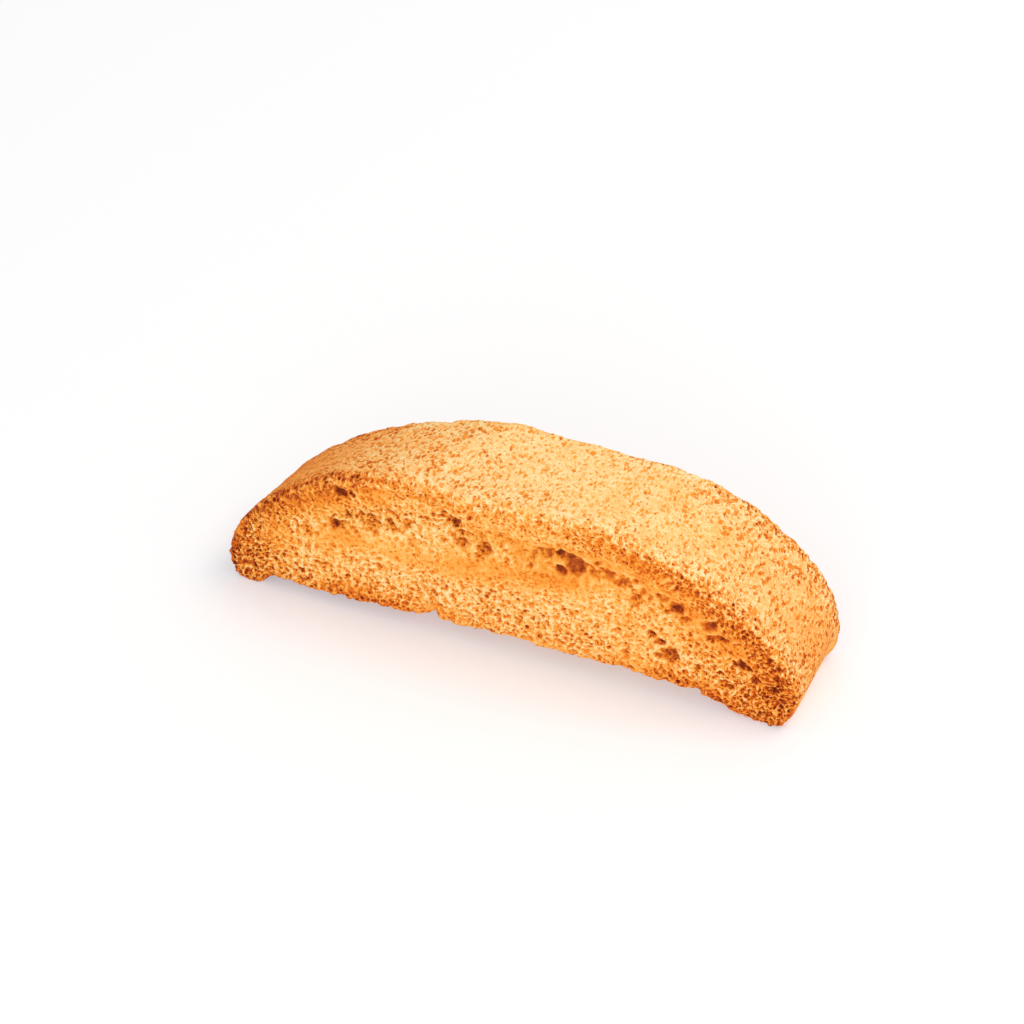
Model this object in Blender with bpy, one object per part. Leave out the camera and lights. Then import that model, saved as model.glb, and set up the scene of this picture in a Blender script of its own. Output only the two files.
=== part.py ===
"""One slice of a twice-baked egg biscuit, standing on the underside of the loaf it was cut from.

The part is one closed mesh, biscotti_slice: a D-shaped slice with a domed crust, two broad cut faces
and a base that arches between two feet. +X runs along the slice, +Z is up, and the front cut face
looks towards -Y. Sizes below are in millimetres and are turned to metres when the mesh is made.
"""

import math

import bmesh
import bpy
import numpy as np

MM = 0.001

# Driving sizes of the slice.
LENGTH = 112.0
THICKNESS = 22.5
CROWN_HEIGHT = 35.4
EDGE_RADIUS = 0.9

# The outline on the front cut face and on the back one. The loaf's cross-section changed a little
# from one cut to the next, so the crust runs straight between two slightly different outlines.
FRONT = {
    "left_tip": -LENGTH / 2,
    "right_tip": LENGTH / 2,
    "left_crown": -22.0,
    "right_crown": 14.0,
    "left_top": CROWN_HEIGHT - 1.6,
    "right_top": CROWN_HEIGHT,
    "left_power": 1.62,
    "right_power": 1.65,
}
BACK = {
    "left_tip": -LENGTH / 2 + 4.0,
    "right_tip": LENGTH / 2,
    "left_crown": -6.0,
    "right_crown": 22.0,
    "left_top": CROWN_HEIGHT - 0.1,
    "right_top": CROWN_HEIGHT - 0.1,
    "left_power": 1.5,
    "right_power": 1.8,
}

# The underside: a rounded nose at each end, a flat foot under it, and an arch between the feet.
TIP_HEIGHT = 6.6
NOSE_LEFT = 2.6
NOSE_RIGHT = 4.4
FOOT_LEFT = 2.4
FOOT_RIGHT = 4.6
RISE_LEFT = 3.6
RISE_RIGHT = 12.0
ARCH_HEIGHT = 3.8
ARCH_LEFT_SAG = 1.4

# Broad relief of the cut faces: the crumb tore a little deeper along a band under the crust.
TROUGH_DEPTH = 0.5
TROUGH_PLACE = 0.68
TROUGH_WIDTH = 0.16
WAVE_DEPTH = 0.18

# Mesh density.
COLUMNS = 62
CAP_ROWS = 11
CRUST_ROWS = 8
EDGE_STEPS = 2


def smooth_step(t):
    """Eases from 0 to 1 as t goes from 0 to 1."""
    t = np.clip(t, 0.0, 1.0)
    return t * t * (3.0 - 2.0 * t)


def blend(back):
    """The outline's values at a share `back` of the way from the front face to the back face."""
    return {name: FRONT[name] * (1.0 - back) + BACK[name] * back for name in FRONT}


def crown_curve(o):
    """Crust line from the left tip over the crown to the right tip: two superellipse quarters
    joined by a nearly level stretch."""
    angle = np.linspace(0.0, math.pi / 2, 90)
    left_x = o["left_crown"] - (o["left_crown"] - o["left_tip"]) * np.cos(angle) ** (2.0 / o["left_power"])
    left_z = TIP_HEIGHT + (o["left_top"] - TIP_HEIGHT) * np.sin(angle) ** (2.0 / o["left_power"])
    right_x = o["right_crown"] + (o["right_tip"] - o["right_crown"]) * np.cos(angle) ** (2.0 / o["right_power"])
    right_z = TIP_HEIGHT + (o["right_top"] - TIP_HEIGHT) * np.sin(angle) ** (2.0 / o["right_power"])
    return np.concatenate([left_x, right_x[::-1]]), np.concatenate([left_z, right_z[::-1]])


def base_curve(o):
    """Underside from the left tip to the right tip: a quarter-ellipse nose, a level foot, the arch,
    a level foot and the other nose."""
    angle = np.linspace(0.0, math.pi / 2, 24)
    nose_left_x = o["left_tip"] + NOSE_LEFT * (1.0 - np.cos(angle))
    nose_right_x = o["right_tip"] - NOSE_RIGHT * (1.0 - np.cos(angle))
    nose_z = TIP_HEIGHT * (1.0 - np.sin(angle))
    x = np.linspace(o["left_tip"] + NOSE_LEFT, o["right_tip"] - NOSE_RIGHT, 240)
    left_end = x[0] + FOOT_LEFT
    right_end = x[-1] - FOOT_RIGHT
    lift = smooth_step((x - left_end) / RISE_LEFT) * smooth_step((right_end - x) / RISE_RIGHT)
    sag = ARCH_LEFT_SAG * (1.0 - smooth_step((x - left_end) / (0.6 * LENGTH)))
    z = lift * (ARCH_HEIGHT - sag)
    return (
        np.concatenate([nose_left_x, x[1:-1], nose_right_x[::-1]]),
        np.concatenate([nose_z, z[1:-1], nose_z[::-1]]),
    )


def even_points(x, z, count):
    """Points at even distances along a curve, both ends kept."""
    run = np.concatenate([[0.0], np.cumsum(np.hypot(np.diff(x), np.diff(z)))])
    at = np.linspace(0.0, run[-1], count)
    return np.stack([np.interp(at, run, x), np.interp(at, run, z)], axis=1)


def ring(back, inset):
    """The closed outline: along the crust from the left tip to the right one and back along the
    base, moved inwards by `inset`."""
    o = blend(back)
    crown = even_points(*crown_curve(o), COLUMNS + 1)
    base = even_points(*base_curve(o), COLUMNS + 1)
    loop = np.concatenate([crown, base[-2:0:-1]])
    along = np.roll(loop, -1, axis=0) - np.roll(loop, 1, axis=0)
    along /= np.linalg.norm(along, axis=1)[:, None]
    inward = np.stack([along[:, 1], -along[:, 0]], axis=1)
    return loop + inset * inward


def skin_rows():
    """Stations across the thickness: (y, inset) with both edges rounded to EDGE_RADIUS."""
    half = THICKNESS / 2
    turns = [math.pi / 2 * k / EDGE_STEPS for k in range(EDGE_STEPS + 1)]
    front = [(-half + EDGE_RADIUS * (1 - math.sin(a)), EDGE_RADIUS * (1 - math.cos(a))) for a in turns[::-1]]
    back = [(-y, inset) for y, inset in front[::-1]]
    between = np.linspace(-half + EDGE_RADIUS, half - EDGE_RADIUS, CRUST_ROWS + 1)[1:-1]
    return front + [(y, 0.0) for y in between] + back


def cap_relief(column, row, phase):
    """How far the cut face lies inside its plane, none at its rim: the torn band under the crust
    and a slow waviness. column and row run from 0 to 1 over the face."""
    rim = np.sin(math.pi * column) ** 0.5 * np.sin(math.pi * row) ** 0.5
    trough = TROUGH_DEPTH * np.exp(-(((row - TROUGH_PLACE) / TROUGH_WIDTH) ** 2))
    wave = WAVE_DEPTH * (1.0 + np.sin(9.0 * column + phase) * np.cos(5.0 * row + phase))
    return rim * (trough + wave)


def slice_points():
    """All points of the slice and its quads, with the shared rims repeated."""
    stations = skin_rows()
    half = THICKNESS / 2
    rings = []
    for y, inset in stations:
        loop = ring((y + half) / THICKNESS, inset)
        rings.append(np.stack([loop[:, 0], np.full(len(loop), y), loop[:, 1]], axis=1))
    size = len(rings[0])
    points = [np.concatenate(rings)]
    quads = []
    for r in range(len(rings) - 1):
        for i in range(size):
            j = (i + 1) % size
            quads.append((r * size + i, r * size + j, (r + 1) * size + j, (r + 1) * size + i))

    start = len(points[0])
    column, row = np.meshgrid(np.linspace(0, 1, COLUMNS + 1), np.linspace(0, 1, CAP_ROWS + 1), indexing="ij")
    for loop, inwards, phase in ((rings[0], 1.0, 0.4), (rings[-1], -1.0, 2.3)):
        crown = loop[: COLUMNS + 1]
        base = np.concatenate([loop[:1], loop[COLUMNS + 1 :][::-1], loop[COLUMNS : COLUMNS + 1]])
        face = base[:, None, :] * (1 - row[..., None]) + crown[:, None, :] * row[..., None]
        face[..., 1] += inwards * cap_relief(column, row, phase)
        points.append(face.reshape(-1, 3))
        for i in range(COLUMNS):
            for k in range(CAP_ROWS):
                a = start + i * (CAP_ROWS + 1) + k
                b = a + CAP_ROWS + 1
                quads.append((a, b, b + 1, a + 1))
        start += (COLUMNS + 1) * (CAP_ROWS + 1)
    points = np.concatenate(points)
    points[:, 0] -= (points[:, 0].min() + points[:, 0].max()) / 2
    return points * MM, quads


def baked_crumb():
    """Golden baked crumb, matt and dry."""
    material = bpy.data.materials.new("baked_crumb")
    material.use_nodes = True
    shader = material.node_tree.nodes["Principled BSDF"]
    shader.inputs["Base Color"].default_value = (0.80, 0.45, 0.15, 1.0)
    shader.inputs["Roughness"].default_value = 0.85
    shader.inputs["Metallic"].default_value = 0.0
    return material


for old in list(bpy.data.objects):
    bpy.data.objects.remove(old, do_unlink=True)

points, quads = slice_points()
mesh = bpy.data.meshes.new("biscotti_slice")
mesh.from_pydata(points.tolist(), [], quads)
bm = bmesh.new()
bm.from_mesh(mesh)
bmesh.ops.remove_doubles(bm, verts=bm.verts, dist=0.02 * MM)
bmesh.ops.recalc_face_normals(bm, faces=bm.faces)
bm.to_mesh(mesh)
bm.free()
mesh.materials.append(baked_crumb())
mesh.shade_smooth()
slice_object = bpy.data.objects.new("biscotti_slice", mesh)
bpy.context.scene.collection.objects.link(slice_object)
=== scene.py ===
"""Looks of one slice of twice-baked egg biscuit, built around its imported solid."""

import math

import bpy
import numpy as np
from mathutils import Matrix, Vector


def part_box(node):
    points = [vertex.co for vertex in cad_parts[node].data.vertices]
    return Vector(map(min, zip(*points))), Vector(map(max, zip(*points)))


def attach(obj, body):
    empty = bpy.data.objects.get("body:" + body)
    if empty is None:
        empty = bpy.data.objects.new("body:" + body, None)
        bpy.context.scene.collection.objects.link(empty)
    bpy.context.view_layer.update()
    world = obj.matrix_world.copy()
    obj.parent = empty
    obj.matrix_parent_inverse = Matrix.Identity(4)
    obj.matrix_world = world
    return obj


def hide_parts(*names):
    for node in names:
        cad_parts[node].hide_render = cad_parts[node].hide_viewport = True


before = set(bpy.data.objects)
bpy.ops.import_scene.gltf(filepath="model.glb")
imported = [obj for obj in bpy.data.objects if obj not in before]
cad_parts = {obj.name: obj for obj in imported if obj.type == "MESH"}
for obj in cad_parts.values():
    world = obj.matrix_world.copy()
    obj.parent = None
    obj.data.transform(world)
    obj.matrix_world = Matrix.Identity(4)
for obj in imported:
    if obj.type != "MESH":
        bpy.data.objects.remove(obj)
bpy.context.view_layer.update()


# ----------------------------------------------------------------------------------------------
# The slice's outline. The loaf was a long oval baked on a tray, so its cross-section is a D: a
# domed crust, a rounded nose at each end and an underside that arches between two feet. The
# section changed a little from one cut to the next, so the front and back outlines differ.
# ----------------------------------------------------------------------------------------------

MM = 0.001
SLICE_NODE = "biscotti_slice"

# Lengths are in millimetres until the meshes are made. The slice lies along x, its cut faces look
# along y, and z is up.
low_corner, high_corner = (np.array(corner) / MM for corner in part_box(SLICE_NODE))
LENGTH, THICKNESS, CROWN_HEIGHT = (high_corner - low_corner).tolist()
HALF = THICKNESS / 2

FRONT = {
    "left_tip": -LENGTH / 2,
    "right_tip": LENGTH / 2,
    "left_crown": -22.0,
    "right_crown": 14.0,
    "left_top": CROWN_HEIGHT - 1.6,
    "right_top": CROWN_HEIGHT,
    "left_power": 1.62,
    "right_power": 1.65,
}
BACK = {
    "left_tip": -LENGTH / 2 + 4.0,
    "right_tip": LENGTH / 2,
    "left_crown": -6.0,
    "right_crown": 22.0,
    "left_top": CROWN_HEIGHT - 0.1,
    "right_top": CROWN_HEIGHT - 0.1,
    "left_power": 1.5,
    "right_power": 1.8,
}
TIP_HEIGHT = 6.6
NOSE_LEFT = 2.6
NOSE_RIGHT = 4.4
FOOT_LEFT = 2.4
FOOT_RIGHT = 4.6
RISE_LEFT = 3.6
RISE_RIGHT = 12.0
ARCH_HEIGHT = 3.8
ARCH_LEFT_SAG = 1.4
SAG_RUN = 0.6 * LENGTH
SHOULDER_LEFT = 0.36
SHOULDER_RIGHT = 0.28

# Trial points along the underside or crown, a flank and a nose, before even steps are cut.
LONG_TRIALS = 900
FLANK_TRIALS = 400
NOSE_TRIALS = 200

CRUST_ROUND = 1.4
BASE_ROUND = 0.5
ROUND_ROWS = 10
SKIN_ROWS = 104
CUT_COLUMNS = 550
CUT_ROWS = 172
RING = 2 * (CUT_COLUMNS + CUT_ROWS)
RIGHT_START = CUT_COLUMNS
CROWN_START = CUT_COLUMNS + CUT_ROWS
LEFT_START = 2 * CUT_COLUMNS + CUT_ROWS
SKIN_POINTS = (SKIN_ROWS + 1) * RING
INNER_POINTS = (CUT_COLUMNS - 1) * (CUT_ROWS - 1)


def ease(low, high, value):
    """0 at `low`, 1 at `high` and a smooth step between them, held level beyond both."""
    t = np.clip((value - low) / (high - low), 0.0, 1.0)
    return t * t * (3.0 - 2.0 * t)


def noise(points, size, seed):
    """Smooth random values from -1 to 1: random numbers on a cubic lattice of spacing `size`,
    blended between its corners with an eased weight along each axis."""
    low = points.min(axis=0) - size
    spot = (points - low) / size
    corner = np.floor(spot).astype(np.int64)
    weight = spot - corner
    weight = weight * weight * (3 - 2 * weight)
    lattice = np.random.default_rng(seed).uniform(-1, 1, corner.max(axis=0) + 2)
    total = np.zeros(len(points))
    for step in np.ndindex(2, 2, 2):
        at = corner + step
        share = np.prod(np.where(step, weight, 1 - weight), axis=1)
        total += share * lattice[at[:, 0], at[:, 1], at[:, 2]]
    return total


def noises(points, *layers):
    """Sum of noises, each given by its strength, size and seed."""
    return sum(strength * noise(points, size, seed) for strength, size, seed in layers)


def quarter_oval(run, low, high, power):
    """Height along a superellipse quarter, which falls from `high` at run 0 to `low` at run 1."""
    return low + (high - low) * (1 - run ** power) ** (1 / power)


def crown_height(cut, x):
    """Height of the crust at x: two superellipse quarters joined by a nearly level stretch."""
    left_run = np.clip((cut["left_crown"] - x) / (cut["left_crown"] - cut["left_tip"]), 0.0, 1.0)
    right_run = np.clip((x - cut["right_crown"]) / (cut["right_tip"] - cut["right_crown"]), 0.0, 1.0)
    left_z = quarter_oval(left_run, TIP_HEIGHT, cut["left_top"], cut["left_power"])
    right_z = quarter_oval(right_run, TIP_HEIGHT, cut["right_top"], cut["right_power"])
    level = np.clip((x - cut["left_crown"]) / (cut["right_crown"] - cut["left_crown"]), 0.0, 1.0)
    return left_z * (1 - level) + right_z * level


def base_height(cut, x):
    """Height of the underside at x: a quarter-ellipse nose, a level foot, the arch and again."""
    into_left = np.clip(1 - (x - cut["left_tip"]) / NOSE_LEFT, 0.0, 1.0)
    into_right = np.clip(1 - (cut["right_tip"] - x) / NOSE_RIGHT, 0.0, 1.0)
    nose = TIP_HEIGHT * (1 - np.sqrt(1 - np.maximum(into_left, into_right) ** 2))
    left_end = cut["left_tip"] + NOSE_LEFT + FOOT_LEFT
    right_end = cut["right_tip"] - NOSE_RIGHT - FOOT_RIGHT
    lift = ease(left_end, left_end + RISE_LEFT, x) * (1 - ease(right_end - RISE_RIGHT, right_end, x))
    sag = ARCH_LEFT_SAG * (1 - ease(left_end, left_end + SAG_RUN, x))
    return nose + lift * (ARCH_HEIGHT - sag)


def cut_at(back):
    """The outline's values at a share `back` of the way from the front face to the back face."""
    return {name: FRONT[name] * (1 - back) + BACK[name] * back for name in FRONT}


def run_of_points(x, z, count):
    """`count` steps of even length along a curve, without its last point."""
    run = np.concatenate([[0.0], np.cumsum(np.hypot(np.diff(x), np.diff(z)))])
    at = np.linspace(0.0, run[-1], count + 1)[:-1]
    return np.stack([np.interp(at, run, x), np.interp(at, run, z)], axis=1)


def outline(back):
    """The closed outline, anticlockwise from the left foot: underside, right end, crown and left
    end, each cut into even steps, and the unit directions inwards."""
    cut = cut_at(back)
    left_tip, right_tip = cut["left_tip"], cut["right_tip"]
    foot_left = left_tip + NOSE_LEFT
    foot_right = right_tip - NOSE_RIGHT
    shoulder_left = left_tip + SHOULDER_LEFT * (cut["left_crown"] - left_tip)
    shoulder_right = right_tip - SHOULDER_RIGHT * (right_tip - cut["right_crown"])
    nose_run = np.linspace(0.0, 1.0, NOSE_TRIALS)
    turn = np.sin(np.linspace(0.0, math.pi / 2, FLANK_TRIALS)) ** 2

    base_x = np.linspace(foot_left, foot_right, LONG_TRIALS)
    nose_x = foot_right + (right_tip - foot_right) * nose_run ** 0.5
    flank_x = right_tip + (shoulder_right - right_tip) * turn
    right_x = np.concatenate([nose_x, flank_x[1:]])
    right_z = np.concatenate([base_height(cut, nose_x), crown_height(cut, flank_x[1:])])
    crown_x = np.linspace(shoulder_right, shoulder_left, LONG_TRIALS)
    flank_x = shoulder_left + (left_tip - shoulder_left) * (1 - turn[::-1])
    nose_x = left_tip + (foot_left - left_tip) * nose_run ** 2
    left_x = np.concatenate([flank_x, nose_x[1:]])
    left_z = np.concatenate([crown_height(cut, flank_x), base_height(cut, nose_x[1:])])

    loop = np.concatenate([
        run_of_points(base_x, base_height(cut, base_x), CUT_COLUMNS),
        run_of_points(right_x, right_z, CUT_ROWS),
        run_of_points(crown_x, crown_height(cut, crown_x), CUT_COLUMNS),
        run_of_points(left_x, left_z, CUT_ROWS),
    ])
    ahead = np.roll(loop, -1, axis=0) - np.roll(loop, 1, axis=0)
    ahead /= np.linalg.norm(ahead, axis=1)[:, None]
    return loop, np.stack([-ahead[:, 1], ahead[:, 0]], axis=1)


def edge_rounding(seed):
    """Radius of a cut edge at each column: wide and uneven along the crust, widest at its left,
    narrower near the tips and small underneath."""
    loop, _ = outline(0.5)
    x, z = loop.T
    flat = np.stack([x, np.zeros(RING), z], axis=1)
    near_tips = ease(44, 54, np.abs(x))
    high = ease(3.0, 9.0, z) * (1 - 0.45 * near_tips) * (1 + 0.5 * ease(-4, -26, x))
    uneven = 1 + noises(flat, (0.3, 7.0, seed), (0.25, 2.5, seed + 1))
    return BASE_ROUND + (CRUST_ROUND - BASE_ROUND) * high * uneven


def skin_grid():
    """Surface round the slice, crust and underside: the outline swept through the thickness with
    both cut edges rounded. Rows run from the front edge to the back one, columns go once round."""
    front_round = edge_rounding(30)
    back_round = edge_rounding(34)
    rows = []
    for row in range(SKIN_ROWS + 1):
        turn_in = max(1 - row / ROUND_ROWS, 0.0) * math.pi / 2
        turn_out = max(1 - (SKIN_ROWS - row) / ROUND_ROWS, 0.0) * math.pi / 2
        level = min(max((row - ROUND_ROWS) / (SKIN_ROWS - 2 * ROUND_ROWS), 0.0), 1.0)
        middle = level * (THICKNESS - front_round - back_round)
        y = -HALF + front_round * (1 - math.sin(turn_in)) + middle + back_round * math.sin(turn_out)
        inset = front_round * (1 - math.cos(turn_in)) + back_round * (1 - math.cos(turn_out))
        loop, inwards = outline((y.mean() + HALF) / THICKNESS)
        loop = loop + inset[:, None] * inwards
        rows.append(np.stack([loop[:, 0], y, loop[:, 1]], axis=1))
    return np.stack(rows)


def cut_grid(rim):
    """Cut face inside a closed rim, as a Coons patch: each point blends the underside with the
    crown and the left end with the right end, less the blend of the four corners."""
    base = rim[: RIGHT_START + 1]
    right = rim[RIGHT_START : CROWN_START + 1]
    crown = rim[CROWN_START : LEFT_START + 1][::-1]
    left = np.concatenate([rim[LEFT_START:], rim[:1]])[::-1]
    u = np.linspace(0.0, 1.0, CUT_COLUMNS + 1)[:, None, None]
    v = np.linspace(0.0, 1.0, CUT_ROWS + 1)[None, :, None]
    sides = (1 - v) * base[:, None] + v * crown[:, None] + (1 - u) * left[None] + u * right[None]
    left_corners = (1 - v) * base[0] + v * crown[0]
    right_corners = (1 - v) * base[-1] + v * crown[-1]
    return sides - ((1 - u) * left_corners + u * right_corners)


def cut_indices(row_start, inner_start):
    """Point numbers of a cut face's grid: its rim is a row of the skin, its inside is its own."""
    index = np.zeros((CUT_COLUMNS + 1, CUT_ROWS + 1), dtype=np.int64)
    inner = np.arange(INNER_POINTS).reshape(CUT_COLUMNS - 1, CUT_ROWS - 1)
    index[1:-1, 1:-1] = inner_start + inner
    ring = row_start + np.arange(RING + 1) % RING
    index[:, 0] = ring[: RIGHT_START + 1]
    index[-1, :] = ring[RIGHT_START : CROWN_START + 1]
    index[:, -1] = ring[CROWN_START : LEFT_START + 1][::-1]
    index[0, :] = ring[LEFT_START:][::-1]
    return index


def grid_normals(grid):
    """Unit normals of the skin: across the step along the rows and the step round the outline."""
    around = np.roll(grid, -1, axis=1) - np.roll(grid, 1, axis=1)
    across = np.gradient(grid, axis=0)
    normals = np.cross(across, around)
    return normals / np.linalg.norm(normals, axis=2)[..., None]


# ----------------------------------------------------------------------------------------------
# Crumb and crust relief. Egg foam set in the oven: the cut faces show its cells, a net of thin
# pale walls round orange hollows, with torn holes in a band under the crust. The crust is a thin
# skin pricked by small slanting pores, which opens into the same foam along both cut edges.
# ----------------------------------------------------------------------------------------------

# How far the surface swells before its cells and pores are sunk into it.
SWELL = 0.35
# Pitches of the wide and small cells and the scattered holes, the ranges of their radii and of
# their steepness, which is depth over radius, and the skin's rows that can open into foam.
WIDE_PITCH, WIDE_RADII, WIDE_STEEP = 1.02, (0.45, 0.88), (0.3, 0.7)
SMALL_PITCH, SMALL_RADII, SMALL_STEEP = 0.66, (0.22, 0.4), (0.5, 1.0)
HOLE_PITCH, HOLE_RADII, HOLE_STEEP = 3.0, (0.5, 0.95), (0.4, 0.8)
FRILL_ROWS, FRILL_RADII, FRILL_STEEP = 26, (0.22, 0.62), (0.4, 1.1)
PORE_RADII, PORE_STEEP, PORE_STRETCH = (0.16, 0.4), (0.3, 0.75), 1.5
TRAY_PORE_RADII, TRAY_PORE_STEEP = (0.3, 0.7), 0.45
DENT_STEEP = 0.3

# Torn holes of the front face: x, z, radius and depth.
TORN_HOLES = (
    (-34.4, 20.0, 2.0, 0.8), (-31.2, 20.4, 1.2, 0.8), (-27.0, 22.2, 2.3, 0.85),
    (-23.2, 23.4, 1.4, 0.65), (-39.6, 16.8, 1.7, 0.7), (-19.6, 24.6, 1.5, 0.8),
    (-10.9, 28.0, 1.9, 1.3), (-9.6, 24.0, 1.6, 0.8), (-5.2, 23.6, 1.5, 0.85),
    (-5.9, 21.4, 1.1, 0.7), (-1.4, 24.6, 1.0, 0.5), (7.1, 26.6, 1.7, 0.9),
    (3.4, 22.6, 0.8, 0.8), (12.6, 25.4, 2.7, 1.4), (16.6, 25.2, 1.5, 0.9),
    (19.4, 25.5, 1.7, 1.0), (22.1, 24.6, 1.5, 1.1), (24.6, 21.4, 1.8, 0.6),
    (29.4, 23.4, 1.8, 1.0), (31.4, 21.4, 1.7, 1.1), (33.4, 19.6, 1.2, 0.8),
    (38.6, 19.8, 1.6, 1.1), (40.8, 17.4, 1.4, 1.0), (44.6, 13.0, 1.5, 1.3),
    (35.4, 15.6, 2.0, 0.5), (47.6, 10.4, 1.0, 0.8),
)
# Large round cells of the front face: x, z, radius and depth.
WIDE_CELLS = (
    (12.1, 14.4, 1.4, 0.7), (31.0, 10.2, 2.3, 1.1), (36.9, 9.5, 1.4, 0.8),
    (-41.6, 6.6, 0.9, 1.1), (-37.0, 9.2, 1.3, 0.6), (-25.5, 12.6, 1.4, 0.6),
    (27.6, 14.2, 1.2, 1.1), (17.1, 12.4, 0.9, 0.7), (51.1, 8.6, 1.4, 0.9),
    (41.9, 7.2, 1.4, 0.8), (-32.6, 28.0, 1.8, 1.0), (-2.0, 8.6, 0.9, 0.5),
    (22.6, 8.2, 1.2, 0.6), (3.2, 11.2, 0.9, 0.6), (-15.0, 10.2, 0.9, 0.6),
)
# Dents in the crust: x, y and radius.
CRUST_DENTS = (
    (-13.1, -4.5, 1.4), (4.9, -5.9, 1.2), (-14.6, 7.4, 1.0), (-33.0, 5.6, 1.5), (33.5, 8.0, 1.1),
)

# Values that change along the slice, each as pairs of x and value. Pores are fewest and smallest
# over the middle of the crown; the crust opens into foam widest towards the right end; cut edges
# are brownest at the ends; the crust is palest over the middle.
PORES_ALONG = (
    (-50, 0.75), (-34, 1.1), (-18, 1.25), (-6, 0.95), (4, 0.7), (26, 0.72), (38, 1.0), (56, 1.1),
)
FRILL_ALONG = ((-50, 2.4), (-30, 2.4), (-15, 1.7), (0, 1.0), (15, 1.8), (28, 3.4), (50, 4.2))
CRUST_EDGE_TOAST = (
    (-50, 1.1), (-38, 1.1), (-27, 0.9), (-12, 0.4), (2, 0.15), (14, 0.45), (26, 0.7), (38, 0.9),
    (50, 1.1),
)
UNDER_EDGE_TOAST = (
    (-50, 0.7), (-38, 0.6), (-27, 1.0), (-12, 0.3), (2, 0.1), (14, 0.2), (26, 0.55), (38, 1.0),
    (50, 1.1),
)
CRUST_TONE = (
    (-56, 0.54), (-46, 0.58), (-38, 0.66), (-28, 0.77), (-16, 0.84), (0, 0.87), (14, 0.88),
    (28, 0.84), (42, 0.805), (56, 0.79),
)
# The toasted ends: x and z of the middle, how much height counts, reach and strength.
TOASTED_ENDS = ((-56.0, 8.0, 0.7, 11.5, 1.2), (55.0, 4.0, 0.9, 12.5, 1.25))


def hump(value, centre, width):
    """A bell of height 1 about `centre`: e to the power of minus the square of the distance."""
    return np.exp(-(((value - centre) / width) ** 2))


def along(x, pairs):
    """A value that changes along the slice, in straight lines from one pair to the next."""
    places, values = zip(*pairs)
    return np.interp(x, places, values)


def warp(points, *shakes):
    """Points shaken so that round bowls lose their regular rims: each shake moves them along the
    three axes by its amount times three noises of its size, seeded from its seed on."""
    for amount, size, seed in shakes:
        shift = [noise(points, size, seed + axis) for axis in range(3)]
        points = points + amount * np.stack(shift, axis=1)
    return points


def bowls(points, centres, radii, depths, axes=None, stretch=1.0):
    """Depth of the deepest bowl at each point. A bowl is deepest at its centre and rises with the
    square of the distance; with `axes`, it is `stretch` times longer along its own axis."""
    order = np.argsort(points[:, 0])
    ordered = points[order]
    depth = np.zeros(len(points))
    reach = radii * stretch
    first = np.searchsorted(ordered[:, 0], centres[:, 0] - reach)
    last = np.searchsorted(ordered[:, 0], centres[:, 0] + reach)
    for n in range(len(centres)):
        near = slice(first[n], last[n])
        away = ordered[near] - centres[n]
        distance = (away ** 2).sum(axis=1)
        if axes is not None:
            distance -= (1 - 1 / stretch ** 2) * (away @ axes[n]) ** 2
        np.maximum(depth[near], depths[n] * (1 - distance / radii[n] ** 2), out=depth[near])
    result = np.empty_like(depth)
    result[order] = depth
    return result


def height_share(x, z, back):
    """Height within the slice at x, from 0 at the underside to 1 at the crust."""
    cut = cut_at(back)
    held_x = np.clip(x, cut["left_tip"], cut["right_tip"])
    low = base_height(cut, held_x)
    high = crown_height(cut, held_x)
    return (z - low) / np.maximum(high - low, 0.5)


def face_lattice(rng, pitch, back):
    """Centres at jittered lattice places over a cut face, on its surface."""
    x, z = np.meshgrid(np.arange(-LENGTH / 2, LENGTH / 2, pitch), np.arange(0, CROWN_HEIGHT, pitch))
    places = np.stack([x.ravel(), z.ravel()], axis=1)
    places += rng.uniform(-0.46, 0.46, places.shape) * pitch
    share = height_share(places[:, 0], places[:, 1], back)
    places = places[(share > -0.03) & (share < 1.03)]
    y = (2 * back - 1) * HALF
    return np.stack([places[:, 0], np.full(len(places), y), places[:, 1]], axis=1)


def skin_lattice(rng, grid, column_pitch, row_pitch, first_column, last_column):
    """Centres at jittered lattice places on the skin, and at each a slanting axis for its pore."""
    rows, columns = np.meshgrid(
        np.arange(1, SKIN_ROWS, row_pitch), np.arange(first_column, last_column, column_pitch)
    )
    rows = rows.ravel() + rng.integers(0, row_pitch, rows.size)
    columns = columns.ravel() + rng.integers(0, column_pitch, columns.size)
    rows = np.clip(rows, 0, SKIN_ROWS)
    columns = columns % RING
    centres = grid[rows, columns]
    tangent = grid[rows, (columns + 1) % RING] - grid[rows, columns - 1]
    tangent /= np.linalg.norm(tangent, axis=1)[:, None]
    slant = rng.normal(0.25, 0.45, len(centres))[:, None]
    axes = np.cos(slant) * np.array([0.0, 1.0, 0.0]) + np.sin(slant) * tangent
    return centres, axes


def torn(rng, places, y):
    """Ragged holes: each is one bowl and ten smaller ones huddled round its place."""
    centres, radii, depths = [], [], []
    for x, z, radius, depth in places:
        for part in range(11):
            away = rng.normal(0, 0.55, 2) * radius * (part > 0)
            size = radius * (0.95 if part == 0 else rng.uniform(0.25, 0.55))
            centres.append((x + away[0] * 1.2, y, z + away[1]))
            radii.append(size)
            depths.append(depth * rng.uniform(0.8, 1.1) * (size / radius) ** 0.3)
    return np.array(centres), np.array(radii), np.array(depths)


def placed(holes, back):
    """The holes as they lie on one cut face; on the back face they are mirrored and moved."""
    if not back:
        return holes
    return [(3.0 - x, z - 0.6, radius, depth) for x, z, radius, depth in holes]


def frill_width(points):
    """How far in from a cut edge the crust is open foam, less towards the underside."""
    return along(points[:, 0], FRILL_ALONG) * (0.4 + 0.6 * ease(4.0, 10.0, points[:, 2]))


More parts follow.
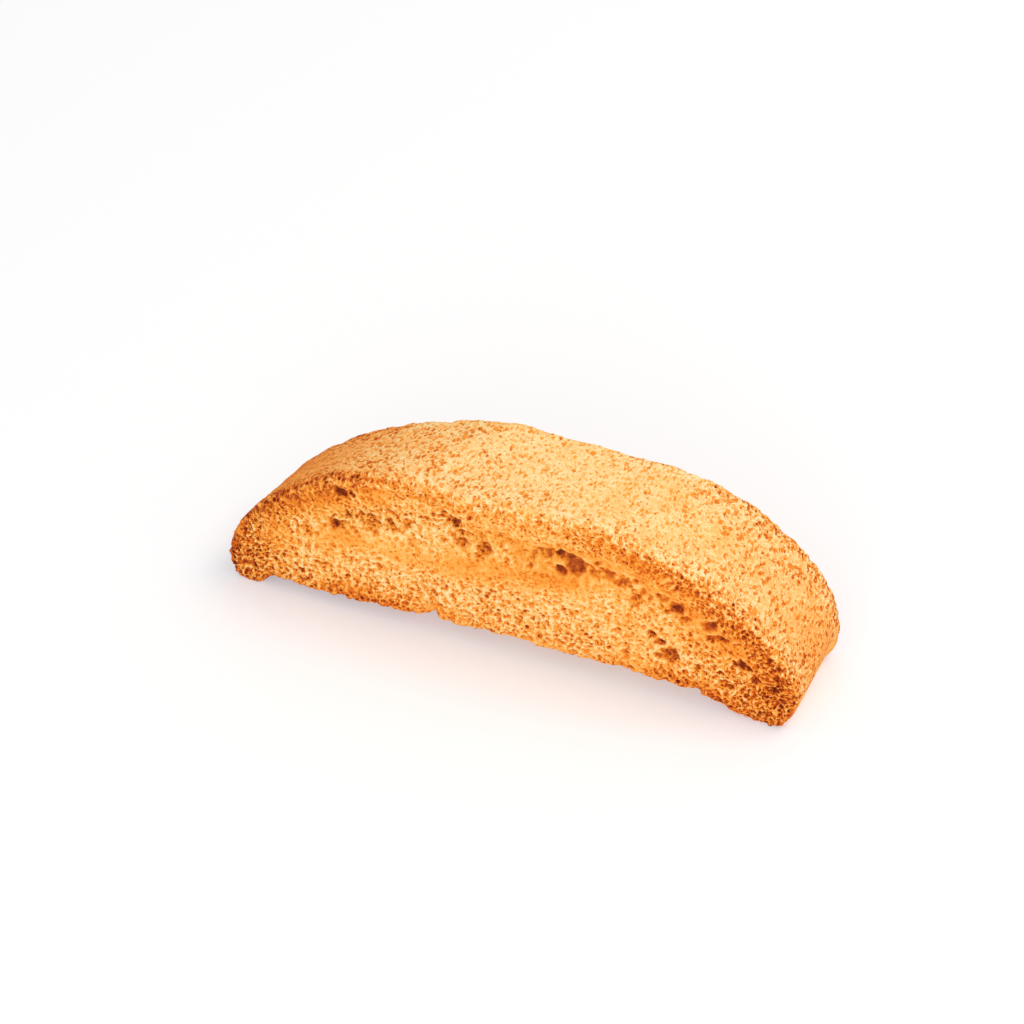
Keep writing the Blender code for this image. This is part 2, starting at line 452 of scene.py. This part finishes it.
def rim_toast(x, high):
    """How brown the cut edge is at x, along the crust (`high` 1) or the underside (`high` 0)."""
    return along(x, CRUST_EDGE_TOAST) * high + along(x, UNDER_EDGE_TOAST) * (1 - high)


def toast_of_tips(x, z):
    """Browning of the two thin ends: a bell of the distance to each end's middle."""
    left, right = (
        strength * hump(np.hypot(x - mid_x, (z - mid_z) * rise), 0.0, reach)
        for mid_x, mid_z, rise, reach, strength in TOASTED_ENDS
    )
    return np.maximum(left, right)


def crumb_cells(points, grid):
    """Depth of the crumb's cells: on each cut face wide shallow bowls that meet in thin crests,
    small ones in and between them, and steep ones where the ends have toasted. The same cells
    break through the crust along its cut edges."""
    rng = np.random.default_rng(2208)
    shaken = warp(points, (0.42, 2.9, 40), (0.26, 0.9, 50), (0.13, 0.45, 46))
    depth = np.zeros(len(points))
    for back in (0.0, 1.0):
        centres = face_lattice(rng, WIDE_PITCH, back)
        radii = rng.uniform(*WIDE_RADII, len(centres))
        steep = rng.uniform(*WIDE_STEEP, len(centres))
        depth = np.maximum(depth, bowls(shaken, centres, radii, radii * steep))

        centres = face_lattice(rng, SMALL_PITCH, back)
        toasted = toast_of_tips(centres[:, 0], centres[:, 2]) > rng.uniform(0.1, 0.7, len(centres))
        centres = centres[toasted | (rng.uniform(size=len(centres)) < 0.5)]
        toast = toast_of_tips(centres[:, 0], centres[:, 2])
        radii = rng.uniform(*SMALL_RADII, len(centres)) * (1 + 0.15 * toast)
        steep = rng.uniform(*SMALL_STEEP, len(centres)) + 0.5 * toast
        depth = np.maximum(depth, bowls(shaken, centres, radii, radii * steep))

    edge = np.concatenate([grid[:FRILL_ROWS:2, ::3], grid[: -FRILL_ROWS - 1 : -2, ::3]]).reshape(-1, 3)
    inside = HALF - np.abs(edge[:, 1])
    edge = edge[rng.uniform(size=len(edge)) < 0.42 * hump(inside, 0.0, frill_width(edge))]
    edge = edge + rng.uniform(-0.25, 0.25, edge.shape)
    radii = rng.uniform(*FRILL_RADII, len(edge))
    steep = rng.uniform(*FRILL_STEEP, len(edge))
    return np.maximum(depth, bowls(shaken, edge, radii, radii * steep))


def pores_and_holes(points, grid):
    """How deep two kinds of hollow go at each point: the skin's larger pores, and the wide or torn
    holes of the crumb with the crust's dents."""
    rng = np.random.default_rng(2207)
    shaken = warp(points, (0.42, 2.9, 40), (0.24, 0.9, 50))
    ragged = warp(points, (0.55, 1.9, 44), (0.36, 0.7, 54))
    curled = warp(shaken, (0.14, 0.45, 47))

    holes = np.zeros(len(points))
    for back in (0.0, 1.0):
        centres = face_lattice(rng, HOLE_PITCH, back)
        share = height_share(centres[:, 0], centres[:, 2], back)
        centres = centres[rng.uniform(size=len(centres)) < 0.12 + 0.2 * (share < 0.45)]
        radii = rng.uniform(*HOLE_RADII, len(centres))
        steep = rng.uniform(*HOLE_STEEP, len(centres))
        holes = np.maximum(holes, bowls(ragged, centres, radii, radii * steep))
        side = (2 * back - 1) * HALF
        holes = np.maximum(holes, bowls(ragged, *torn(rng, placed(TORN_HOLES, back), side)))
        holes = np.maximum(holes, bowls(shaken, *torn(rng, placed(WIDE_CELLS, back), side)))

    x, y, radii = np.array(CRUST_DENTS).T
    z = [crown_height(cut_at((dent_y + HALF) / THICKNESS), dent_x) for dent_x, dent_y in zip(x, y)]
    centres = np.stack([x, y, z], axis=1)
    holes = np.maximum(holes, bowls(ragged, centres, radii, radii * DENT_STEEP))

    centres, axes = skin_lattice(rng, grid, 6, 5, first_column=CUT_COLUMNS, last_column=RING)
    kept = rng.uniform(size=len(centres)) < along(centres[:, 0], PORES_ALONG)
    centres, axes = centres[kept], axes[kept]
    radii = rng.uniform(*PORE_RADII, len(centres)) * (1 + 0.25 * ease(-8, -34, centres[:, 0]))
    steep = rng.uniform(*PORE_STEEP, len(centres))
    pores = bowls(curled, centres, radii, radii * steep, axes, PORE_STRETCH)
    centres, axes = skin_lattice(rng, grid, 8, 7, first_column=0, last_column=CUT_COLUMNS)
    radii = rng.uniform(*TRAY_PORE_RADII, len(centres))
    pores = np.maximum(pores, bowls(shaken, centres, radii, radii * TRAY_PORE_STEEP))
    return pores, holes


def distance_to_rim(points, rim):
    """Distance in the cut plane from each point to the nearest of the rim's points."""
    nearest = np.empty(len(points))
    batch = 20000
    for start in range(0, len(points), batch):
        part = points[start : start + batch, None, [0, 2]] - rim[None, ::3, [0, 2]]
        nearest[start : start + batch] = np.sqrt((part ** 2).sum(axis=2).min(axis=1))
    return nearest


def frayed_edge(grid):
    """The skin with its lower edges frayed: slow and quick waves and one notch at the front, all
    dying out a few millimetres in from the edge; the right foot is tucked under its crust."""
    x, y, z = grid.reshape(-1, 3).T
    flat = np.stack([x, np.sign(y) * 5.0, np.zeros_like(z)], axis=1)
    from_edge = HALF - np.abs(y)
    waves = noises(flat, (0.28, 4.0, 81), (0.25, 1.5, 82), (0.15, 0.7, 83)) - 0.1
    notch = 1.8 * hump(x, -14.9, 1.0) * (y < 0)
    lift = waves * hump(from_edge, 0.0, 1.8) + notch * hump(from_edge, 0.0, 2.6)
    lowest = ease(6.0, 3.0, z) * ease(LENGTH / 2 - 2, LENGTH / 2 - 6, np.abs(x))
    tuck = 1.1 * ease(45, 54, x) * ease(11.0, 4.0, z) * ease(-1.5, 2.0, HALF - 2.6 - y)
    moved = np.stack([x - tuck, y, z + lift * lowest], axis=1)
    return moved.reshape(grid.shape)


def blurred(values, reach):
    """Mean of a grid's values over a square of `reach` steps each way, edges repeated."""
    for axis in (0, 1):
        count = values.shape[axis]
        widths = [(0, 0), (0, 0)]
        widths[axis] = (reach + 1, reach)
        total = np.cumsum(np.pad(values, widths, mode="edge"), axis)
        later = total.take(range(2 * reach + 1, 2 * reach + 1 + count), axis)
        values = (later - total.take(range(count), axis)) / (2 * reach + 1)
    return values


def softened(values, reach):
    """The slice's values blurred over `reach` steps, each of its three grids by itself."""
    skin = values[:SKIN_POINTS].reshape(SKIN_ROWS + 1, RING)
    cuts = values[SKIN_POINTS:].reshape(2, CUT_COLUMNS - 1, CUT_ROWS - 1)
    return np.concatenate([blurred(side, reach).ravel() for side in (skin, *cuts)])


def stand_of(depth):
    """Where a point stands against its surroundings, from -1 down in a hollow to 1 on a crest: the
    mean of two blurs of the depth less the depth itself, eased to a limit."""
    around = 0.6 * softened(depth, 2) + 0.4 * softened(depth, 5)
    return np.tanh((around - depth) / 0.15)


def slice_points(skin):
    """The slice's points before its relief and the way out at each: first the skin's rows, then
    the insides of the front and the back cut face."""
    cuts = [cut_grid(rim)[1:-1, 1:-1].reshape(-1, 3) for rim in (skin[0], skin[-1])]
    outwards = grid_normals(skin)
    outwards[0] = (0, -1, 0)
    outwards[-1] = (0, 1, 0)
    cut_outwards = np.repeat([[0.0, -1.0, 0.0], [0.0, 1.0, 0.0]], INNER_POINTS, axis=0)
    points = np.concatenate([skin.reshape(-1, 3), *cuts])
    return points, np.concatenate([outwards.reshape(-1, 3), cut_outwards])


class Places:
    """What is known of each point from where it lies: `on_skin` and `on_cut` are 1 on their side
    and 0 on the other, `share` is its height within the slice and `upper` 1 in the upper half,
    `rim` its distance on a cut face to the edge, `inside` its distance on the skin to the nearer
    cut edge, and `tips` how far the ends' browning reaches it."""

    def __init__(self, points, skin):
        self.points = points
        self.x, self.y, self.z = points.T
        self.on_skin = (np.arange(len(points)) < SKIN_POINTS).astype(float)
        self.on_cut = 1 - self.on_skin
        self.share = np.clip(height_share(self.x, self.z, (self.y + HALF) / THICKNESS), 0.0, 1.0)
        self.upper = ease(0.35, 0.6, self.share)
        self.rim = np.zeros(len(points))
        self.rim[SKIN_POINTS:] = distance_to_rim(points[SKIN_POINTS:], skin[0])
        self.inside = np.where(self.on_skin > 0, HALF - np.abs(self.y), 0.0)
        self.tips = toast_of_tips(self.x, self.z)
        self.mark_crumb()
        self.mark_skin()

    def mark_crumb(self):
        """Areas of the cut faces: a smooth ridge halfway up, from the left end to past the middle,
        a smooth film over the right of the torn band, the torn band itself and its hollows, and
        beside the right crust a band that slanting waves comb."""
        points, x, share, rim, on_cut = self.points, self.x, self.share, self.rim, self.on_cut
        ridge = hump(share, 0.5 + 0.05 * np.sin(x / 9.0), 0.08) * ease(-45, -38, x) * ease(20, 10, x)
        self.ridge = ridge * np.clip(0.7 + 0.5 * noise(points, 6.0, 61), 0, 1) * on_cut
        self.film = hump(share, 0.74, 0.15) * ease(-14, 2, x) * ease(3.0, 5.5, rim) * on_cut
        self.torn_band = hump(share, 0.72, 0.15) * ease(2.5, 6.0, rim) * on_cut
        self.band = hump(rim, 2.4, 2.2) * self.upper * ease(6, 16, x) * on_cut
        # The hollows follow the torn band's deeper waves; the tone paints shade into them.
        dips = np.clip(0.15 + noises(points, (1.0, 4.2, 62), (0.45, 1.2, 60)), 0, 1)
        self.hollow = self.torn_band * dips
        slanting = np.stack([0.4 * x - 0.3 * self.z, self.y, 1.8 * self.z + 1.2 * x], axis=1)
        self.combed = noise(slanting, 0.9, 75)

    def mark_skin(self):
        """Areas of the skin: the lace of open cells along its cut edges, the closed crust, which
        ends in an uneven line along them, and a smooth strip low on the right nose."""
        uneven = 1.1 + 0.7 * noise(self.points, 2.0, 79)
        self.lace = hump(self.inside, 0.0, frill_width(self.points) * uneven)
        from_edge = np.where(self.on_skin > 0, self.inside, -self.rim)
        from_edge = from_edge + noises(self.points, (0.9, 1.6, 70), (0.5, 0.7, 71))
        self.crusted = ease(-0.5, 1.6, from_edge)
        end = ease(LENGTH / 2 - 5.5, LENGTH / 2 - 3.5, self.x)
        self.strip = end * ease(7.0, 5.0, self.z) * self.on_skin


def openness(at):
    """How open the crumb's cells are, from 0 to about 1: least on the ridge and the film, most low
    down and in the left torn band."""
    net = 0.75 + 0.3 * hump(at.share, 0.25, 0.2) - 0.5 * at.ridge - 0.35 * at.film + 0.15 * at.band
    net = net + 0.25 * at.torn_band * ease(0, -15, at.x)
    net = np.clip(net + 0.25 * noise(at.points, 5.0, 78) + 0.2 * at.tips, 0.3, 1.1)
    return net * at.on_cut + 0.95 * at.lace * at.on_skin


def relief_depth(at, net, cells, pores, holes):
    """How deep each point lies: the cells or pores and the holes, broad waves of the torn crumb
    less the ridge, lumps of the crust, a fine grain, and wear where the cut edges crumbled."""
    points = at.points
    waves = (0.6 - 0.15 * ease(-5, -20, at.x)) * at.torn_band * (1 + 0.9 * noise(points, 4.2, 62))
    broad = waves - 0.25 * at.ridge
    away = ease(0.0, 3.0, at.rim) * at.on_cut
    broad += away * noises(points, (0.12, 7.0, 63), (0.14, 2.2, 64))
    broad += 0.26 * at.torn_band * noise(points, 1.2, 60) + 0.2 * at.band * at.combed
    away = at.on_skin * ease(0.0, 2.5, at.inside)
    lumps = away * noises(points, (0.18, 6.5, 65), (0.09, 2.4, 66))
    fine = 0.05 * noise(points, 0.5, 67)
    wear = np.clip(0.15 + noises(points, (0.35, 1.7, 68), (0.35, 4.5, 69)), 0, 1)
    wear = wear * hump(at.rim + at.inside, 0.0, 1.6)
    return np.maximum(cells * net, pores) + 0.85 * np.tanh(holes) + broad + lumps + fine + wear


def browning(at):
    """How toasted each point is: the cut edges over an uneven reach on both sides, and the ends,
    whose browning fades on the skin away from the cut edges."""
    left = ease(-15, -32, at.x)
    edge = rim_toast(at.x, at.upper)
    cut_reach = 2.2 + 1.8 * noise(at.points, 2.6, 72) + at.upper * (1.0 + 0.8 * left)
    toast = edge * hump(at.rim, 0.0, np.maximum(cut_reach, 0.6)) * at.on_cut
    skin_reach = 1.4 + 1.2 * noise(at.points, 2.2, 73) + edge
    near = hump(at.inside, 0.0, np.maximum(skin_reach, 0.4))
    toast += (0.75 + 0.25 * left) * edge * near * at.on_skin
    tips = at.tips * (at.on_cut + at.on_skin * (0.35 + 0.65 * hump(at.inside, 0.0, 2.0)))
    return np.maximum(toast, tips)


def crust_tone(at):
    """Tone of the crust: palest over the middle, browner low down, with fine level grooves on the
    strip under the right nose."""
    grooves = noise(np.stack([at.x, 0.08 * at.y, at.z], axis=1), 0.5, 85)
    low = 0.2 * ease(0.3, 0.1, at.share) * hump(at.x, 0.0, 50.0)
    return along(at.x, CRUST_TONE) - low + at.strip * (0.14 + 0.1 * grooves)


def cut_tone(at):
    """Tone of the cut faces: a golden mean, deeper on the ridge, darker with painted shade in the
    torn band's hollows, deeper beside the right crust, along the underside and low on the right,
    paler high on the left."""
    tone = 0.735 - 0.15 * at.ridge - 0.05 * at.film - 0.09 * at.band
    tone = tone - 0.04 * ease(-38, -48, at.x) + 0.12 * at.combed * at.band
    # The hollows are darkened with painted shade.
    tone = tone + (0.04 * at.upper - 0.05 * at.hollow) * ease(-8, -24, at.x) - 0.14 * at.hollow
    tone = tone - 0.06 * ease(0.3, 0.0, at.share)
    tone = tone - 0.05 * ease(24, 44, at.x) * ease(0.7, 0.4, at.share)
    return tone + 0.03 * hump(at.x, -46, 6) - 0.05 * hump(at.x, -34, 7) * ease(0.4, 0.15, at.share)


def baked_tone(at, net, stand, toast, patches):
    """Place of each point on the baked scale: the crust's or the cut face's tone, less the toast,
    mottled, with a painted highlight on crests and painted shade in hollows."""
    tone = cut_tone(at) * (1 - at.crusted) + crust_tone(at) * at.crusted
    specks = noise(at.points, 1.2, 77)
    tone = tone - 0.34 * toast + 0.045 * patches + 0.05 * specks * (0.6 + 1.4 * at.torn_band)
    on_crust = at.on_skin * ease(0.3, 0.5, at.share)
    painted_light_strength = at.on_cut * (0.35 + 0.65 * net) + on_crust * (1 + 0.2 * at.lace)
    # Painted highlight on the crests and painted shade in the hollows, stronger where cells are open.
    crests = 0.22 + 0.22 * toast * (1 - 0.7 * ease(-15, -32, at.x) * at.on_skin)
    hollows = 0.33 - 0.11 * at.on_skin
    return tone + (crests * np.maximum(stand, 0) + hollows * np.minimum(stand, 0)) * painted_light_strength


def slice_surface():
    """All points of the slice, what each point shows and the grids of point numbers of its four
    sides. A point is moved out by the swell less its depth. Shown are: tone, the place on the
    baked scale, with painted highlight on crests and painted shade in hollows; net, how open the
    crumb's cells are; porous, how pricked the crust is; hole, a torn hole's depth, which paints
    shade into the holes; ochre, how yellow the brown is, also on that painted shade."""
    skin = frayed_edge(skin_grid())
    points, outwards = slice_points(skin)
    at = Places(points, skin)
    cells = crumb_cells(points, skin)
    pores, holes = pores_and_holes(points, skin)
    hole_shade = 0.45 * holes + 0.55 * softened(holes, 3)
    net = openness(at)
    depth = relief_depth(at, net, cells, pores, softened(holes, 1))
    patches = noise(points, 3.4, 76)
    tone = baked_tone(at, net, stand_of(depth), browning(at), patches)

    porous = along(at.x, PORES_ALONG) + 0.3 * hump(at.inside, 0.0, 5.0) + 0.3 * noise(points, 6.0, 80)
    porous = np.clip(porous, 0.4, 1.25) * at.crusted * (1 - 0.85 * at.strip)
    # Ochre yellows the browns over the left and the torn band, and the painted shade in its hollows
    # and in the holes.
    ochre = 0.45 * ease(-22, -40, at.x) + at.torn_band * (0.5 + at.hollow) * ease(24, 4, at.x)
    ochre = (ochre + np.clip(hole_shade, 0, 1)) * (0.8 + 0.4 * patches) * (1 - at.ridge)
    looks = {
        "tone": tone,
        "net": net,
        "porous": porous,
        "hole": np.clip(hole_shade, 0, 1.5),
        "ochre": np.clip(ochre, 0, 1),
    }

    points = points + outwards * (SWELL - depth)[:, None]
    points[:, 2] = np.maximum(points[:, 2], 0.0)
    skin_index = np.arange(SKIN_POINTS).reshape(SKIN_ROWS + 1, RING)
    skin_index = np.concatenate([skin_index, skin_index[:, :1]], axis=1)
    grids = {
        "front_crumb": cut_indices(0, SKIN_POINTS),
        "back_crumb": cut_indices(SKIN_ROWS * RING, SKIN_POINTS + INNER_POINTS)[::-1],
        "crust": skin_index[:, CUT_COLUMNS:],
        "underside": skin_index[:, : CUT_COLUMNS + 1],
    }
    return points * MM, looks, grids


def quads_of(index):
    """The four point numbers of every cell of a grid."""
    corners = (index[:-1, :-1], index[1:, :-1], index[1:, 1:], index[:-1, 1:])
    return np.stack(corners, axis=2).reshape(-1, 4)


def whole_normals(points, quads):
    """Normals of the whole closed slice, which Blender works out on a mesh of all four sides."""
    whole = bpy.data.meshes.new("whole")
    whole.from_pydata(points.tolist(), [], quads.tolist())
    normals = np.empty(len(points) * 3, dtype=np.float32)
    whole.vertex_normals.foreach_get("vector", normals)
    bpy.data.meshes.remove(whole)
    return normals.reshape(-1, 3)


def grid_mesh(name, points, quads, looks, normals):
    """A mesh of the points that the quads use, with its looks as attributes and the normals of
    the whole slice, so that shading runs on from one side of the slice to the next."""
    used, local = np.unique(quads, return_inverse=True)
    mesh = bpy.data.meshes.new(name)
    mesh.from_pydata(points[used].tolist(), [], local.reshape(-1, 4).tolist())
    for label, values in looks.items():
        attribute = mesh.attributes.new(label, "FLOAT", "POINT")
        attribute.data.foreach_set("value", values[used].astype(np.float32))
    mesh.shade_smooth()
    mesh.normals_split_custom_set_from_vertices(normals[used].tolist())
    piece = bpy.data.objects.new(name, mesh)
    bpy.context.scene.collection.objects.link(piece)
    return piece


points, looks, grids = slice_surface()
quads = {name: quads_of(index) for name, index in grids.items()}
normals = whole_normals(points, np.concatenate(list(quads.values())))
pieces = [grid_mesh(name, points, quads[name], looks, normals) for name in grids]


# ----------------------------------------------------------------------------------------------
# Baked crumb as a material. Its colour runs along one scale, from cream over gold and orange to
# dark brown where the edge has toasted; the cream on the cell walls is a painted highlight and
# the deeper orange in the hollows painted shade. It is dry and matt.
# ----------------------------------------------------------------------------------------------

# Colours as they look on screen, 0 to 255, at their places on the scale.
BAKED_SCALE = (
    (0.0, (112, 38, 15)),
    (0.2, (162, 60, 23)),
    (0.4, (215, 97, 30)),
    (0.6, (249, 147, 50)),
    (0.8, (255, 190, 107)),
    (1.0, (255, 228, 168)),
)
# The tints yellow the crumb and the darker browns; on the pores, holes and hollows they colour painted
# shade.
EGG_TINT = (1.0, 1.0, 0.78)
OCHRE_TINT = (0.95, 1.25, 1.5)

# Pitches of the fine cells, pores and pinholes, and how deep the fine relief goes.
CELL_PITCH = 0.85
PORE_PITCH = 0.88
PINHOLE_PITCH = 0.5
BUMP_DEPTH = 0.14


def linear(red, green, blue):
    """A colour given as it looks on screen, 0 to 255, as Blender's linear light."""
    parts = [part / 255 for part in (red, green, blue)]
    light = [part / 12.92 if part <= 0.04045 else ((part + 0.055) / 1.055) ** 2.4 for part in parts]
    return (*light, 1.0)


class Wire:
    """A value on its way through a material: arithmetic on it adds nodes."""

    def __init__(self, tree, socket=None):
        self.tree = tree
        self.socket = socket

    def node(self, kind, out=0, settings=(), stops=(), **inputs):
        """Adds a node of a kind, sets its properties, its ramp's stops and its inputs, which are
        named or, as n0 and so on, numbered, and returns one of its outputs."""
        made = self.tree.nodes.new(kind)
        for name, value in settings:
            setattr(made, name, value)
        if stops:
            elements = made.color_ramp.elements
            elements[0].color = linear(*stops[0][1])
            elements[1].color = linear(*stops[-1][1])
            for position, colour in stops[1:-1]:
                elements.new(position).color = linear(*colour)
        for name, value in inputs.items():
            number = name[1:]
            target = made.inputs[int(number) if number.isdigit() else name.replace("_", " ")]
            if isinstance(value, Wire):
                self.tree.links.new(value.socket, target)
            else:
                target.default_value = value
        return Wire(self.tree, made.outputs[out])

    def beside(self, name):
        """Another output of the node that this value comes from."""
        return Wire(self.tree, self.socket.node.outputs[name])

    def maths(self, operation, *others):
        """A Math node on this value and others."""
        inputs = {f"n{k}": value for k, value in enumerate((self, *others))}
        return self.node("ShaderNodeMath", settings=(("operation", operation),), **inputs)

    def vector(self, operation, **inputs):
        """A Vector Math node on this vector or colour."""
        settings = (("operation", operation),)
        return self.node("ShaderNodeVectorMath", settings=settings, n0=self, **inputs)

    def mixed(self, share, other):
        """This colour with a share of another colour in its place."""
        settings = (("data_type", "RGBA"),)
        return self.node("ShaderNodeMix", out=2, settings=settings, n0=share, n6=self, n7=other)

    def __add__(self, other):
        return self.maths("ADD", other)

    def __sub__(self, other):
        return self.maths("SUBTRACT", other)

    def __mul__(self, other):
        return self.maths("MULTIPLY", other)

    def __radd__(self, other):
        return self.maths("ADD", other)

    def __rsub__(self, other):
        return self.maths("MULTIPLY", -1.0).maths("ADD", other)

    def __rmul__(self, other):
        return self.maths("MULTIPLY", other)

    def clamped(self):
        """This value held between 0 and 1."""
        return self.node("ShaderNodeClamp", Value=self)

    def noise(self, size, detail=2.0):
        """Noise of a grain size in millimetres, about -1 to 1, where this wire is the place."""
        made = self.node(
            "ShaderNodeTexNoise", Vector=self, Scale=1 / size, Detail=detail, Roughness=0.6
        )
        return (made - 0.5) * 2.6

    def cells(self, pitch, feature="F1"):
        """Cells of a pitch in millimetres: distance to the middle or the edge, over the pitch."""
        settings = (("feature", feature),)
        return self.node("ShaderNodeTexVoronoi", settings=settings, Vector=self, Scale=1 / pitch)

    def part(self, name):
        """One part of a colour."""
        return self.node("ShaderNodeSeparateColor", out=name, Color=self)

    def into(self, target):
        """Leads this value to an input of the finished surface."""
        self.tree.links.new(self.socket, target)


biscuit = bpy.data.materials.new("baked_biscuit")
biscuit.use_nodes = True
shader = biscuit.node_tree.nodes["Principled BSDF"]
start = Wire(biscuit.node_tree)
tone, net, porous, hole, ochre = (
    start.node("ShaderNodeAttribute", out="Fac", settings=(("attribute_name", label),))
    for label in looks
)
place = start.node("ShaderNodeTexCoord", out="Object").vector("SCALE", Scale=1 / MM)
shake = start.node("ShaderNodeTexNoise", out="Color", Vector=place, Scale=1 / 0.7, Detail=2.0)
shake = shake.vector("SUBTRACT", n1=(0.5, 0.5, 0.5))
loose = place.vector("ADD", n1=shake.vector("SCALE", Scale=1.5))
grain = loose.noise(0.32, 3.0)
blotch = place.noise(1.1)

# Crumb: fine cells inside the large ones, each open by its own amount, with thin walls lightened
# by a painted highlight and hollows darkened by painted shade.
chance = loose.cells(CELL_PITCH).beside("Color")
fall = ((loose.cells(CELL_PITCH, "DISTANCE_TO_EDGE") - 0.05) * 4.5).clamped()
crumb = 0.155 - fall * (0.13 + 0.26 * chance.part("Red"))

# Crust: slanting pores in a smooth film, each with a raised lip, and finer ones everywhere.
# The pores and pinholes are darkened with painted shade, the lips lightened with a painted highlight.
slanted = start.node(
    "ShaderNodeMapping", Vector=loose, Rotation=(0.0, 0.0, -0.35), Scale=(1.0, 0.62, 1.0)
)
pores = slanted.cells(PORE_PITCH)
width = 0.18 + 0.12 * porous + 0.26 * pores.beside("Color").part("Red")
pore = ((width - pores) * 6.0).clamped() * (0.5 + 0.5 * pores.beside("Color").part("Green"))
lip = (1.0 - ((width - pores) * 8.0 + 1.0).maths("ABSOLUTE")).clamped()
pinholes = loose.cells(PINHOLE_PITCH)
pinhole = ((0.16 + 0.3 * pinholes.beside("Color").part("Red") - pinholes) * 6.0).clamped()

# Place on the scale: the tone, shifted by cells, pores, torn holes and grain; cells, pores, holes
# and pinholes shift it as painted shade, walls and lips as painted highlight.
dapple = place.noise(0.75)
# Painted shade in the torn holes, deepest where they are deepest, with ragged edges.
deep = ((hole + 0.22 * blotch + 0.3 * dapple + 0.16 * grain - 0.2) * 1.25).clamped()
toasted = (0.8 - tone).clamped()
baked = tone + net * crumb * (1.0 + 0.8 * toasted)
baked = baked - (pore * (0.08 + 0.29 * tone) - 0.13 * lip) * porous
baked = baked - 0.42 * deep - pinhole * (0.06 + 0.1 * porous + 0.3 * toasted)
baked = baked + 0.085 * grain + 0.04 * blotch

# Colour: egg makes the crumb a little yellower, and the same tint falls on the pores' painted
# shade; the darker browns turn to ochre, much of it on the painted shade in holes and hollows.
scale_colour = start.node("ShaderNodeValToRGB", stops=BAKED_SCALE, Fac=baked.clamped())
egg_share = ((1.0 - porous).clamped() + 0.9 * pore).clamped() * ((1.05 - baked) * 3.0).clamped()
eggy = scale_colour.mixed(egg_share, scale_colour.vector("MULTIPLY", n1=EGG_TINT))
ochre_share = ochre * ((0.75 - baked) * 3.0).clamped()
biscuit_colour = eggy.mixed(ochre_share, eggy.vector("MULTIPLY", n1=OCHRE_TINT))
biscuit_colour.into(shader.inputs["Base Color"])

# Surface: dry and dull, with the same grain, cells and pores as a slight relief.
dullness = 0.86 - 0.08 * grain + 0.06 * pore
dullness.clamped().into(shader.inputs["Roughness"])
shader.inputs["Specular IOR Level"].default_value = 0.1
height = 0.3 * grain - 0.4 * net * fall - (0.5 * pore - 0.2 * lip) * porous - 0.15 * pinhole
bump = start.node("ShaderNodeBump", Strength=0.9, Distance=BUMP_DEPTH * MM, Height=height)
bump.into(shader.inputs["Normal"])

for piece in pieces:
    piece.data.materials.append(biscuit)
    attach(piece, "root")
    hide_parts(SLICE_NODE)


# ----------------------------------------------------------------------------------------------
# Studio: a white floor under an even white sky, a large lamp above and a little behind, and a
# weaker one in front. The floor's paint glows slightly blue against the biscuit's warm light.
# ----------------------------------------------------------------------------------------------

FLOOR_SIDE = 4.0
FLOOR_PAINT = {
    "Base Color": (0.8, 0.69, 0.63, 1.0),
    "Emission Color": (0.18, 0.29, 0.35, 1.0),
    "Emission Strength": 1.0,
    "Roughness": 0.9,
    "Specular IOR Level": 0.0,
}

floor_corners = [(x * FLOOR_SIDE, y * FLOOR_SIDE, 0) for x, y in ((-1, -1), (1, -1), (1, 1), (-1, 1))]
floor_mesh = bpy.data.meshes.new("floor")
floor_mesh.from_pydata(floor_corners, [], [(0, 1, 2, 3)])
floor = bpy.data.objects.new("floor", floor_mesh)
bpy.context.scene.collection.objects.link(floor)
paint = bpy.data.materials.new("floor_paint")
paint.use_nodes = True
for socket, value in FLOOR_PAINT.items():
    paint.node_tree.nodes["Principled BSDF"].inputs[socket].default_value = value
floor_mesh.materials.append(paint)

world = bpy.data.worlds.new("studio")
world.use_nodes = True
world.node_tree.nodes["Background"].inputs["Color"].default_value = (1.0, 1.0, 1.0, 1.0)
world.node_tree.nodes["Background"].inputs["Strength"].default_value = 0.74
bpy.context.scene.world = world
bpy.context.scene.view_settings.view_transform = "Standard"


def lamp(name, spot, size, power):
    """A square soft lamp at `spot`, turned to the slice."""
    light = bpy.data.lights.new(name, "AREA")
    light.size = size
    light.energy = power
    made = bpy.data.objects.new(name, light)
    made.location = spot
    made.rotation_euler = (-Vector(spot)).to_track_quat("-Z", "Y").to_euler()
    bpy.context.scene.collection.objects.link(made)


lamp("key", (0.34, 0.15, 0.68), 0.4, 1.85)
lamp("fill", (0.1, -0.7, 0.3), 0.5, 1.5)

CAMERA_TURN = math.radians(22.2)
CAMERA_RISE = math.radians(41.8)
CAMERA_DISTANCE = 0.9
SENSOR_WIDTH = 36.0
SEEN_WIDTH = 188.5 * MM
AIM_RIGHT = -3.75 * MM
AIM_UP = 18.7 * MM

camera_data = bpy.data.cameras.new("camera")
camera_data.sensor_width = SENSOR_WIDTH
camera_data.lens = SENSOR_WIDTH * CAMERA_DISTANCE / SEEN_WIDTH
camera_data.clip_end = 20.0
camera = bpy.data.objects.new("camera", camera_data)
camera.rotation_euler = (math.pi / 2 - CAMERA_RISE, 0.0, CAMERA_TURN)
camera_turned = camera.rotation_euler.to_matrix()
aim = camera_turned @ Vector((AIM_RIGHT, AIM_UP, 0))
camera.location = aim + camera_turned @ Vector((0, 0, 1)) * CAMERA_DISTANCE
bpy.context.scene.collection.objects.link(camera)
bpy.context.scene.camera = camera
